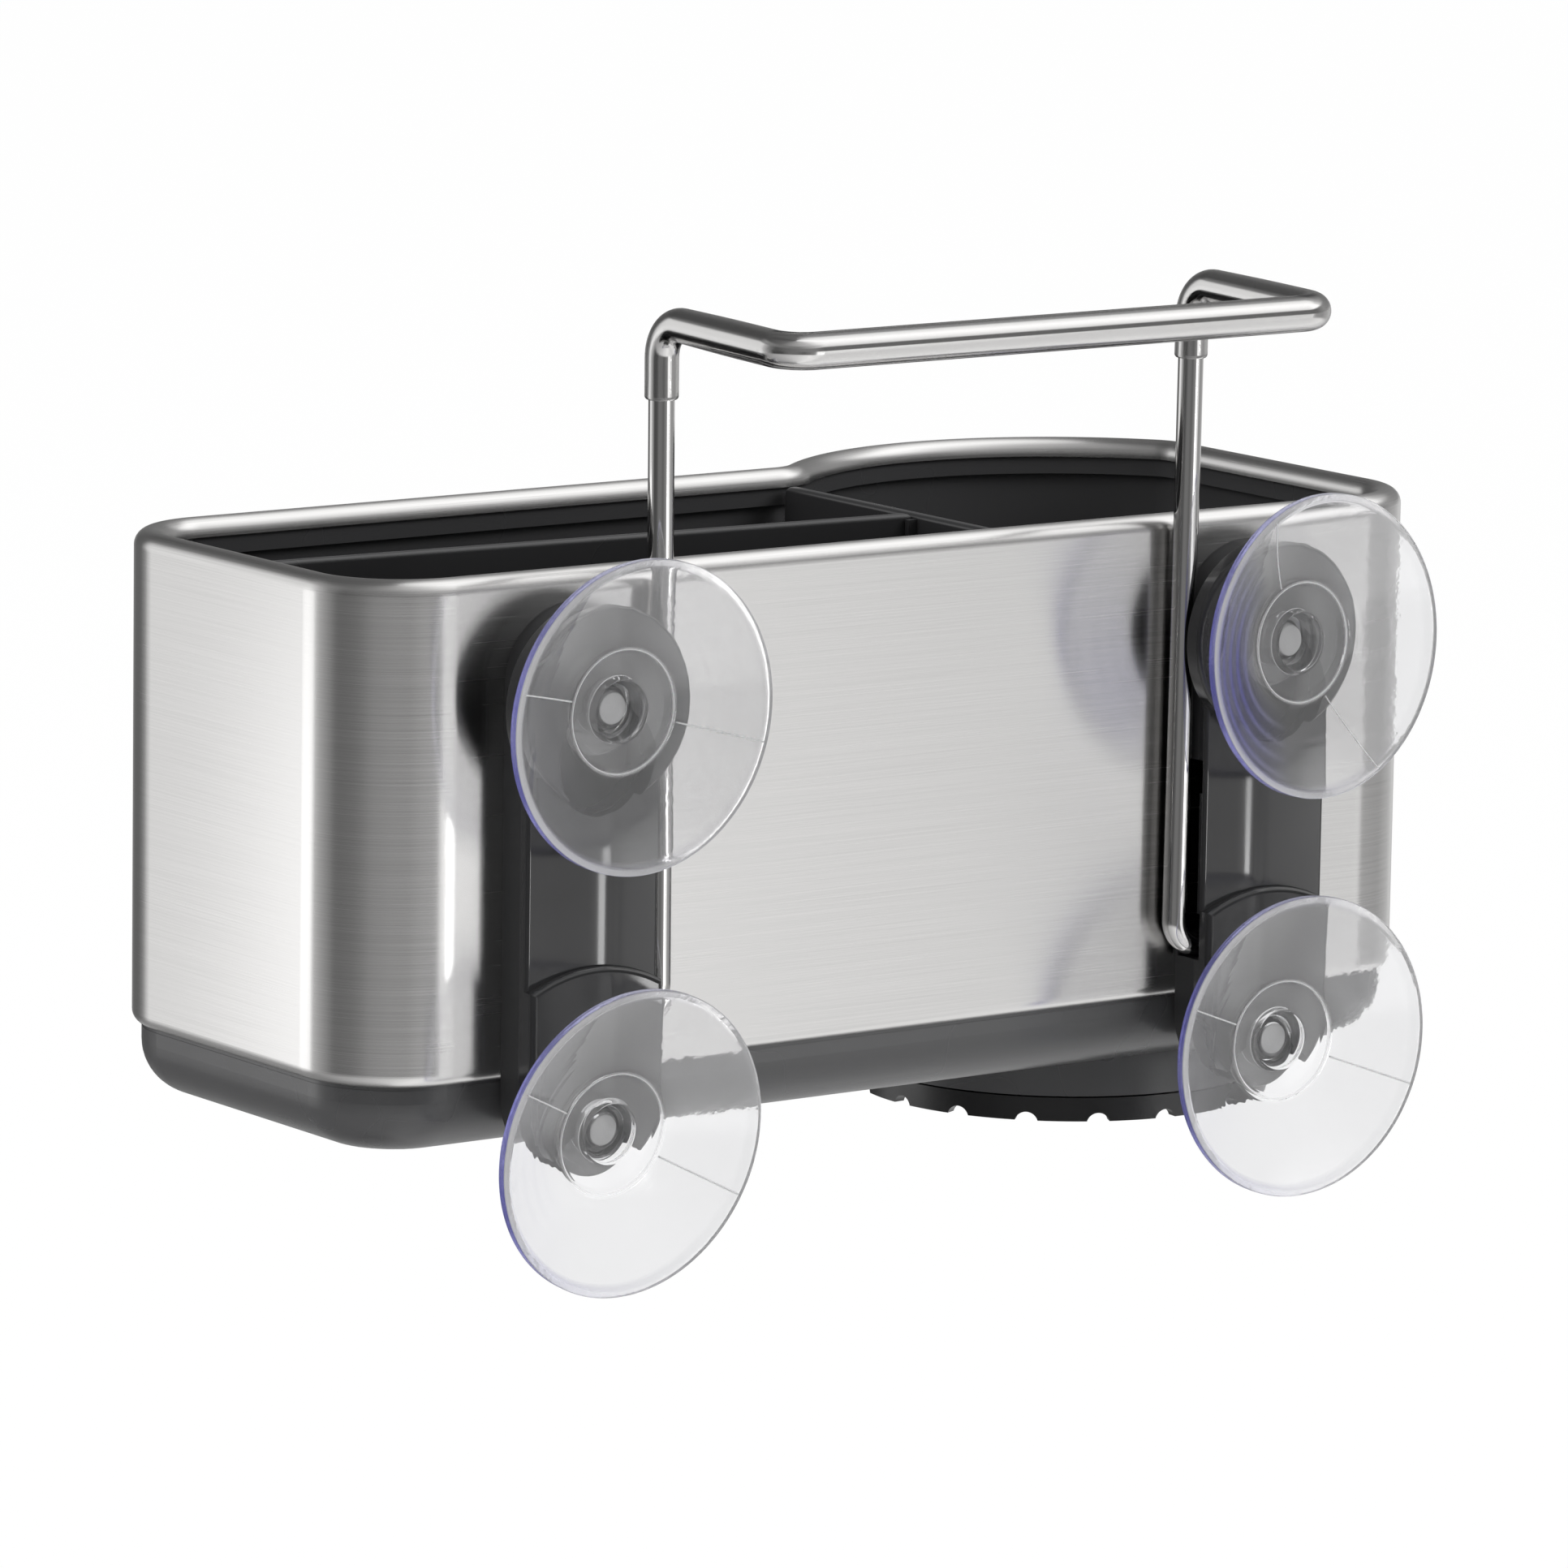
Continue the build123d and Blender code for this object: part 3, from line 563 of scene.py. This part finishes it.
def wire_rail():
    """Round wire carried along the rail's centreline, its two ends rounded and closed at their middles. The
    rounded rings take the place of the two rings at each end."""
    round_off = 0.5
    angles = np.array([0.0, 0.3, 0.6, 0.85, 1.0]) * pi / 2
    path = rail_path(HOOK_Z, True)
    rings = tube_along(path, WIRE_R)
    first = rounded_end(path, rings, 0, WIRE_R, round_off, angles)
    last = rounded_end(path, rings, -1, WIRE_R, round_off, angles)
    sides = rings.shape[1]
    first_middle = np.repeat(path[:1], sides, 0)
    last_middle = np.repeat(path[-1:], sides, 0)
    rings = np.concatenate([[first_middle], first[::-1], rings[2:-2], last, [last_middle]])
    run = np.concatenate([[0], np.cumsum(np.linalg.norm(np.diff(rings.mean(1), axis=0), axis=1))])
    round_wire = np.arange(sides) * 2 * pi * WIRE_R / sides
    uv = np.stack(np.broadcast_arrays(run[:, None], round_wire[None, :]), -1)
    piece = make_object("wire_rail", rings.reshape(-1, 3), grid_faces(len(rings), sides, False, True),
                        "cloth_rail", WIRE, uv.reshape(-1, 2))
    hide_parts("wire_bar")


def rail_tube():
    """The clear tube: outer wall along the rail's upper part, drawn tight on the wire, so no air is left
    between them. It is stretched thinner on the legs than on the bar, and its cut ends are rounded, by rings
    that take the place of the two at each end."""
    leg_r, thin_for, full_from = 3.12, 6.0, 36.0
    bite, cut_round = 0.03, 0.68
    angles = np.linspace(0, pi / 2, 6)
    path = rail_path(TUBE_END_Z, False)
    run = np.concatenate([[0], np.cumsum(np.linalg.norm(np.diff(path, axis=0), axis=1))])
    from_end = np.minimum(run, run[-1] - run)
    outer_r = leg_r + (TUBE_R - leg_r) * eased(ramp(from_end, thin_for, full_from))
    outer = tube_along(path, outer_r)
    inner = tube_along(path, WIRE_R - bite)
    first = rounded_end(path, outer, 0, outer_r[0], cut_round, angles)
    last = rounded_end(path, outer, -1, outer_r[-1], cut_round, angles)
    shell = np.concatenate([first[::-1], outer[2:-2], last, inner[::-1]])
    sides = outer.shape[1]
    piece = make_object("rail_tube_clear", shell.reshape(-1, 3), grid_faces(len(shell), sides, True, True),
                        "cloth_rail", TUBE)
    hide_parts("bar_tube")


wire_rail()
rail_tube()


# Suction cups, dished a little deeper than the CAD's. Radii are from a cup's axis, and heights are Y, zero at
# its rim and falling to its head
DISH_DEPTH, DISH_R, DISH_POWER = 8.6, 27.6, 1.75
DISH_INNER, DISH_OUTER = 12.0, 27.4
RIM_R, BACK_OUTER, BACK_INNER, BACK_R, BACK_Y, BACK_DEPTH = 28.9, 28.7, 12.4, 28.75, -1.75, 8.3
NECK_TURN_LOW, NECK_TURN_HIGH, NECK_MIDDLE = -11.3, -8.7, -11.0


def cup_front(radius):
    """Height of a cup's hollow face at a radius: a dish that steepens towards the rim, with the faint rings
    that the vinyl leaves as it flows outwards in the mould."""
    coarse_rise, coarse_apart, fine_rise, fine_apart = 0.006, 2.6, 0.004, 1.7
    coarse = coarse_rise * np.sin(2 * pi * radius / coarse_apart)
    fine = fine_rise * np.sin(2 * pi * radius / fine_apart + 1.0)
    fade = ramp(radius, 12.5, 14.0) * ramp(radius, 25.0, 19.0)
    return -DISH_DEPTH * (1 - np.clip(radius / DISH_R, 0, 1) ** DISH_POWER) + fade * (coarse + fine)


def cup_profile():
    """Half section of a cup as (radius, Y): gate mark and recess, floor and its ring, dish, rim, back, neck
    and head."""
    dish_points, back_points, arc_step, rim_step = 64, 20, 15, 20
    dish_r = np.linspace(DISH_INNER, DISH_OUTER, dish_points)
    dish = np.column_stack([dish_r, cup_front(dish_r)])
    back_r = np.linspace(BACK_OUTER, BACK_INNER, back_points)
    back = np.column_stack([back_r, BACK_Y - BACK_DEPTH * (1 - (back_r / BACK_R) ** DISH_POWER)])
    middle = rounded([
        (0, -9.4), (2.9, -9.5), (3.5, -10.3), (4.6, -9.6), (5.7, -7.05), (11.1, -6.95), (11.35, -6.6),
        (11.6, -6.6), (DISH_INNER, cup_front(DISH_INNER)),
    ], [0.5, 0.5, 0.6, 0.5, 0.2, 0.1, 0.1], arc_step)
    rim = rounded([
        (DISH_OUTER, cup_front(DISH_OUTER)), (27.8, 0.0), (RIM_R, 0.0), (RIM_R, -1.7), (BACK_OUTER, -1.76),
    ], [0.2, 0.25, 0.1], rim_step)
    stem = rounded([
        (BACK_INNER, back[-1, 1]), (10.5, -9.0), (6.4, -9.1), (5.3, -10.6), (5.2, -14.1), (9.4, -14.1),
        (9.4, -15.3), (7.2, -17.1), (0, -17.1),
    ], [1.0, 0.8, 0.8, 0.5, 0.5, 0.9, 1.2], arc_step)
    return np.concatenate([middle, dish[1:], rim[1:], back[1:], stem[1:]])


def cup_turn(points, x, z, lean, shift):
    """Leans a cup's points about the middle of its neck, not at all at the head and in full from the back of
    the disc on, and puts them on their keyhole. The lean is a turn that takes +Y to the disc's own axis."""
    normal = np.array([-lean[0], 1.0, -lean[1]])
    normal /= np.linalg.norm(normal)
    twist = np.cross([0.0, 1.0, 0.0], normal)
    skew = np.array([[0, -twist[2], twist[1]], [twist[2], 0, -twist[0]], [-twist[1], twist[0], 0]])
    turn = np.eye(3) + skew + skew @ skew / (1 + normal[1])
    soft = eased(ramp(points[..., 1:2], NECK_TURN_LOW, NECK_TURN_HIGH))
    pivot = np.array([0.0, NECK_MIDDLE, 0.0])
    leant = (points - pivot) @ turn.T + pivot + np.array([shift[0], 0.0, shift[1]])
    return points + soft * (leant - points) + np.array([x, 0.0, z])


def cup_tint(radius, y, a, side, violet):
    """How violet and how frosted each point is: the rim's edge, most on the given side, and as far as violet
    says the disc on that side too. The gate mark and the line round the floor are hazy. One side of the dish
    is frosted a little too, as painted light: a whiter veil that stands in for light coming through from
    behind."""
    line_r, line_half, streak_apart, painted_veil_side, side_from = 11.4, 0.22, 3.1, -10.0, 0.9 / 1.9
    edge = ramp(radius, 27.3, 27.9)
    front = ramp(y, -0.2, -0.05)
    facing = np.clip(0.45 + 0.6 * np.cos(a - radians(side)), 0.06, 1)
    disc = ramp(radius, 13.0, 18.0) * ramp(radius, 28.2, 27.7)
    lean = ramp(np.cos(a - radians(side)), side_from, 1.0)
    streak = 0.5 + 0.5 * np.sin(2 * pi * radius / streak_apart + 1.2 * np.sin(2 * a))
    toner = np.clip(edge * (1 - front) * facing + violet * disc * lean * (0.7 + 0.3 * streak), 0, 1)
    gate = ramp(radius, 3.4, 2.8) * (y > -12)
    line = np.exp(-(((radius - line_r) / line_half) ** 2)) * (y > -7.0)
    # Painted light: a little frost on one side of the dish whitens it, standing in for light from behind
    painted_veil = 0.1 * ramp(radius, 12.0, 15.0) * ramp(-np.cos(a - radians(painted_veil_side)), 0.2, 0.7) * (y > -9)
    frost = edge * (0.2 + 0.35 * facing) + 0.45 * gate + 0.8 * line
    frost = frost + 0.35 * violet * disc * lean * streak ** 3
    frost = np.clip(np.maximum(frost, painted_veil), 0, 1) * np.ones_like(a)
    return toner, frost


def cup_seam(angle):
    """Rings of the raised moulding line on the hollow face: a low section carried outwards at the angle,
    from the floor's ring to the rim, and closed at both ends by its middle."""
    along = np.linspace(12.2, 28.0, 30)
    section = np.array([(-0.16, 0.01), (-0.09, 0.13), (0.09, 0.13), (0.16, 0.01)])
    out = np.array([cos(radians(angle)), 0.0, sin(radians(angle))])
    across = np.array([-out[2], 0.0, out[0]])
    rings = along[:, None, None] * out + section[None, :, :1] * across
    rings[..., 1] += cup_front(along)[:, None] + section[None, :, 1]
    middles = rings[[0, -1]].mean(1, keepdims=True).repeat(len(section), 1)
    return np.concatenate([middles[:1], rings, middles[1:]])


def suction_cup(name, node_name, x, z, lean, shift, side, violet, seam):
    """The half section turned about Y and leant on its neck, with the raised moulding line that crosses the
    hollow face at the seam angle and stops at the floor's ring."""
    sides, seam_frost = 192, 0.8
    profile = cup_profile()
    a = np.linspace(0, 2 * pi, sides, endpoint=False)
    radius, y = profile[:, 0][:, None], profile[:, 1][:, None]
    level = np.broadcast_to(y, (len(profile), len(a)))
    points = np.stack([radius * np.cos(a), level, radius * np.sin(a)], -1)
    toner, frost = cup_tint(radius, y, a, side, violet)
    piece = make_object(name, cup_turn(points, x, z, lean, shift).reshape(-1, 3),
                        grid_faces(len(profile), len(a), False, True), "suction_cups", CUP,
                        attributes={"toner": toner, "frost": frost})
    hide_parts(node_name)

    for number, angle in ((1, seam), (2, seam + 180.0)):
        rings = cup_seam(angle)
        plain = np.zeros(rings.shape[:2])
        make_object(f"{name}_seam_{number}", cup_turn(rings, x, z, lean, shift).reshape(-1, 3),
                    grid_faces(len(rings), rings.shape[1], False, True), "suction_cups", CUP,
                    attributes={"toner": plain, "frost": plain + seam_frost})


# Name, node, place, slope of the axis along X and Z, shift of the leant disc along X and Z, the violet side
# in degrees, how violet the disc is there, and the moulding line's angle in degrees
for cup_values in (
    ("cup_clear_upper_left", "cup_upper_left", CUP_X, CUP_Z,
     (0.0452, 0.0429), (-0.78, -0.32), -15.0, 0.05, 14.0),
    ("cup_clear_lower_left", "cup_lower_left", CUP_X, -CUP_Z,
     (0.0399, 0.1169), (0.45, 0.03), -5.0, 0.05, 26.5),
    ("cup_clear_upper_right", "cup_upper_right", -CUP_X, CUP_Z,
     (0.0884, -0.017), (-1.98, -0.47), -12.0, 1.0, 61.0),
    ("cup_clear_lower_right", "cup_lower_right", -CUP_X, -CUP_Z,
     (-0.0054, 0.0223), (0.22, 0.90), 0.0, 0.05, 20.5),
):
    suction_cup(*cup_values)


# Camera, as solved from the photograph's edges
def place_camera():
    """Heading, pitch and roll as three turns; the lens is the solved focal length in pixels of the frame."""
    heading, pitch, roll, focal_px, frame_px = 0.6244, 0.1724, 0.0158, 12138.1, 1932.0
    place, sensor_width = Vector((1.07186, 1.42469, 0.3291)), 36.0
    ahead = np.array([-sin(heading) * cos(pitch), -cos(heading) * cos(pitch), -sin(pitch)])
    level = np.array([-cos(heading), sin(heading), 0.0])
    rise = np.cross(level, ahead)
    right = cos(roll) * level + sin(roll) * rise
    up = -sin(roll) * level + cos(roll) * rise
    data = bpy.data.cameras.new("camera")
    data.sensor_fit = "HORIZONTAL"
    data.sensor_width = sensor_width
    data.lens = sensor_width * focal_px / frame_px
    data.clip_start, data.clip_end = 0.05, 50.0
    camera = bpy.data.objects.new("camera", data)
    turn = Matrix([list(right), list(up), list(-ahead)]).transposed()
    camera.matrix_world = Matrix.Translation(place) @ turn.to_4x4()
    scene.collection.objects.link(camera)
    scene.camera = camera


place_camera()


# Studio
def area_light(name, place, target, width, height, power):
    """A soft rectangular lamp facing the target, unseen in mirrors. Sizes in metres, power in watts."""
    data = bpy.data.lights.new(name, "AREA")
    data.shape = "RECTANGLE"
    data.size, data.size_y, data.energy = width, height, power
    lamp = bpy.data.objects.new(name, data)
    lamp.location = place
    lamp.rotation_euler = (Vector(target) - Vector(place)).to_track_quat("-Z", "Y").to_euler()
    lamp.visible_glossy = lamp.visible_transmission = False
    scene.collection.objects.link(lamp)


def whole_view(tree):
    """Whether a ray comes from the camera, a mirror or through glass, and whether it has met a mirror on its
    way."""
    path = add(tree, "ShaderNodeLightPath")
    seen = add(tree, "ShaderNodeMath", {
        0: path.outputs["Is Camera Ray"], 1: path.outputs["Is Glossy Ray"],
    }, operation="MAXIMUM")
    seen = add(tree, "ShaderNodeMath", {
        0: seen.outputs[0], 1: path.outputs["Is Transmission Ray"],
    }, operation="MAXIMUM")
    mirrored = add(tree, "ShaderNodeMath", {
        0: path.outputs["Glossy Depth"], 1: 0.5,
    }, operation="GREATER_THAN")
    mirrored = add(tree, "ShaderNodeMath", {
        0: mirrored.outputs[0], 1: seen.outputs[0],
    }, operation="MULTIPLY")
    return seen.outputs[0], mirrored.outputs[0]


def grey_ramp(tree, turn, stops):
    """Brightness against compass angle, from (degrees, level) pairs."""
    made = add(tree, "ShaderNodeValToRGB", {"Fac": turn})
    elements = made.color_ramp.elements
    while len(elements) < len(stops):
        elements.new(0.5)
    for element, (degree, level) in zip(elements, stops):
        element.position = (degree + 180) / 360
        element.color = (level, level, level, 1.0)
    return made.outputs["Color"]


def reflection_card(name, place, target, width, height, strength):
    """A glowing white card beside the set, facing the target, that only mirrors see. Sizes in metres."""
    material, tree = new_material(name)
    glow = add(tree, "ShaderNodeEmission", {"Color": (1, 1, 1, 1), "Strength": strength})
    close(tree, glow.outputs[0])
    mesh = bpy.data.meshes.new(name)
    w, h = width / 2, height / 2
    mesh.from_pydata([(-w, -h, 0), (w, -h, 0), (w, h, 0), (-w, h, 0)], [], [(0, 1, 2, 3)])
    card = bpy.data.objects.new(name, mesh)
    card.data.materials.append(material)
    card.location = place
    card.rotation_euler = (Vector(target) - Vector(place)).to_track_quat("Z", "Y").to_euler()
    card.visible_camera = card.visible_diffuse = card.visible_transmission = card.visible_shadow = False
    scene.collection.objects.link(card)


def studio():
    """White floor and surround, the darker room that mirrors show round them, two cards and three lamps."""
    glow_share, floor_z, floor_half = 0.985, -0.2, 6
    material, tree = new_material("studio_floor")
    seen, mirrored = whole_view(tree)
    share = add(tree, "ShaderNodeMath", {0: seen, 1: glow_share}, operation="MULTIPLY")
    matt = add(tree, "ShaderNodeBsdfDiffuse", {"Color": linear("f8f8f8")})
    glow = add(tree, "ShaderNodeEmission", {"Color": (1, 1, 1, 1), "Strength": 1.0})
    both = add(tree, "ShaderNodeMixShader", {0: share.outputs[0], 1: matt.outputs[0], 2: glow.outputs[0]})
    open_to_room = add(tree, "ShaderNodeBsdfTransparent")
    both = add(tree, "ShaderNodeMixShader", {0: mirrored, 1: both.outputs[0], 2: open_to_room.outputs[0]})
    close(tree, both.outputs[0])
    mesh = bpy.data.meshes.new("studio_floor")
    corners = [(x * floor_half, y * floor_half, floor_z) for x, y in ((-1, -1), (1, -1), (1, 1), (-1, 1))]
    mesh.from_pydata(corners, [], [(0, 1, 2, 3)])
    floor = bpy.data.objects.new("studio_floor", mesh)
    floor.data.materials.append(material)
    scene.collection.objects.link(floor)

    world = bpy.data.worlds.new("studio_surround")
    world.use_nodes = True
    scene.world = world
    tree = world.node_tree
    tree.nodes.clear()
    seen, mirrored = whole_view(tree)
    place = add(tree, "ShaderNodeTexCoord")
    axes = add(tree, "ShaderNodeSeparateXYZ", {"Vector": place.outputs["Generated"]})
    heading = add(tree, "ShaderNodeMath", {0: axes.outputs["Y"], 1: axes.outputs["X"]}, operation="ARCTAN2")
    heading = add(tree, "ShaderNodeMapRange", {"Value": heading.outputs[0], "From Min": -pi, "From Max": pi})
    turn = heading.outputs["Result"]
    # Five bands of the room, from the ground up, each as (degrees from +X towards +Y, brightness)
    ground = grey_ramp(tree, turn, (
        (-180, 1.2), (-120, 0.6), (-90, 0.3), (-50, 0.3), (-20, 0.5), (20, 0.7), (60, 1.0), (90, 1.3),
        (115, 1.15), (130, 0.95), (180, 1.2),
    ))
    low = grey_ramp(tree, turn, (
        (-180, 0.5), (-165, 0.6), (-150, 0.75), (-130, 0.5), (-100, 0.15), (-80, 0.15), (-68, 0.3),
        (-58, 1.1), (-48, 1.2), (-37, 0.72), (-27, 0.48), (-17, 0.3), (-8, 0.1), (14, 0.1), (24, 0.15),
        (33, 0.22), (54, 0.22), (72, 0.16), (94, 0.3), (103, 0.45), (108, 1.7), (120, 1.6), (125, 1.36),
        (126.2, 1.26), (127.2, 0.97), (128.9, 0.83), (131, 1.1), (136, 1.15), (141, 0.45), (170, 0.4),
        (180, 0.5),
    ))
    gap = grey_ramp(tree, turn, (
        (-180, 0.4), (-127, 0.2), (-100, 0.12), (-78, 0.15), (-64, 1.0), (-46, 1.1), (-36, 0.7), (-20, 0.3),
        (0, 0.12), (30, 0.2), (90, 0.3), (105, 0.3), (125, 0.2), (150, 0.2), (180, 0.4),
    ))
    high = grey_ramp(tree, turn, (
        (-180, 1.0), (-160, 0.6), (-127, 0.15), (-100, 0.1), (-75, 0.1), (-50, 0.4), (-35, 0.35), (0, 0.25),
        (60, 0.3), (100, 0.6), (122, 0.85), (137, 1.3), (150, 1.7), (165, 1.8), (180, 1.4),
    ))
    sky = grey_ramp(tree, turn, (
        (-180, 1.5), (-150, 1.2), (-130, 0.2), (-75, 0.1), (0, 0.2), (100, 0.8), (135, 1.4), (160, 1.7),
        (180, 1.6),
    ))
    level = ground
    # Where each band takes over from the one below it, as the Z of the direction looked in
    takeovers = ((low, -0.45, -0.3), (gap, -0.03, 0.03), (high, 0.36, 0.5), (sky, 0.62, 0.74))
    for upper, starts, full in takeovers:
        share = add(tree, "ShaderNodeMapRange", {
            "Value": axes.outputs["Z"], "From Min": starts, "From Max": full,
        }, interpolation_type="SMOOTHSTEP")
        level = add(tree, "ShaderNodeMix", {
            0: share.outputs["Result"], 6: level, 7: upper,
        }, data_type="RGBA").outputs[2]
    plain = add(tree, "ShaderNodeMapRange", {"Value": seen, "To Min": 0.55, "To Max": 1.0})
    strength = add(tree, "ShaderNodeMix", {
        0: mirrored, 2: plain.outputs["Result"], 3: level,
    }, data_type="FLOAT")
    light = add(tree, "ShaderNodeBackground", {"Color": (1, 1, 1, 1), "Strength": strength.outputs[0]})
    add(tree, "ShaderNodeOutputWorld", {"Surface": light.outputs[0]})

    # Bright part of the floor that the end wall mirrors, and a far lamp that the brackets' ridges mirror
    reflection_card("card_end", (0.384, -0.334, -0.07), (0.122, -0.032, -0.07),
                    width=0.14, height=0.16, strength=1.9)
    reflection_card("card_strip", (-2.59, 5.32, -1.0), (0.0, 0.0, 0.0), width=0.6, height=0.6, strength=12.0)

    target = (0.0, -0.06, 0.02)
    area_light("lamp_key", (-1.2, 1.3, 1.1), target, width=1.2, height=0.9, power=22.0)
    area_light("lamp_fill", (1.6, -0.4, 0.8), target, width=0.9, height=0.9, power=10.0)
    area_light("lamp_top", (0.1, -0.3, 1.5), target, width=1.2, height=0.8, power=12.0)


studio()
scene.view_settings.view_transform = "Standard"
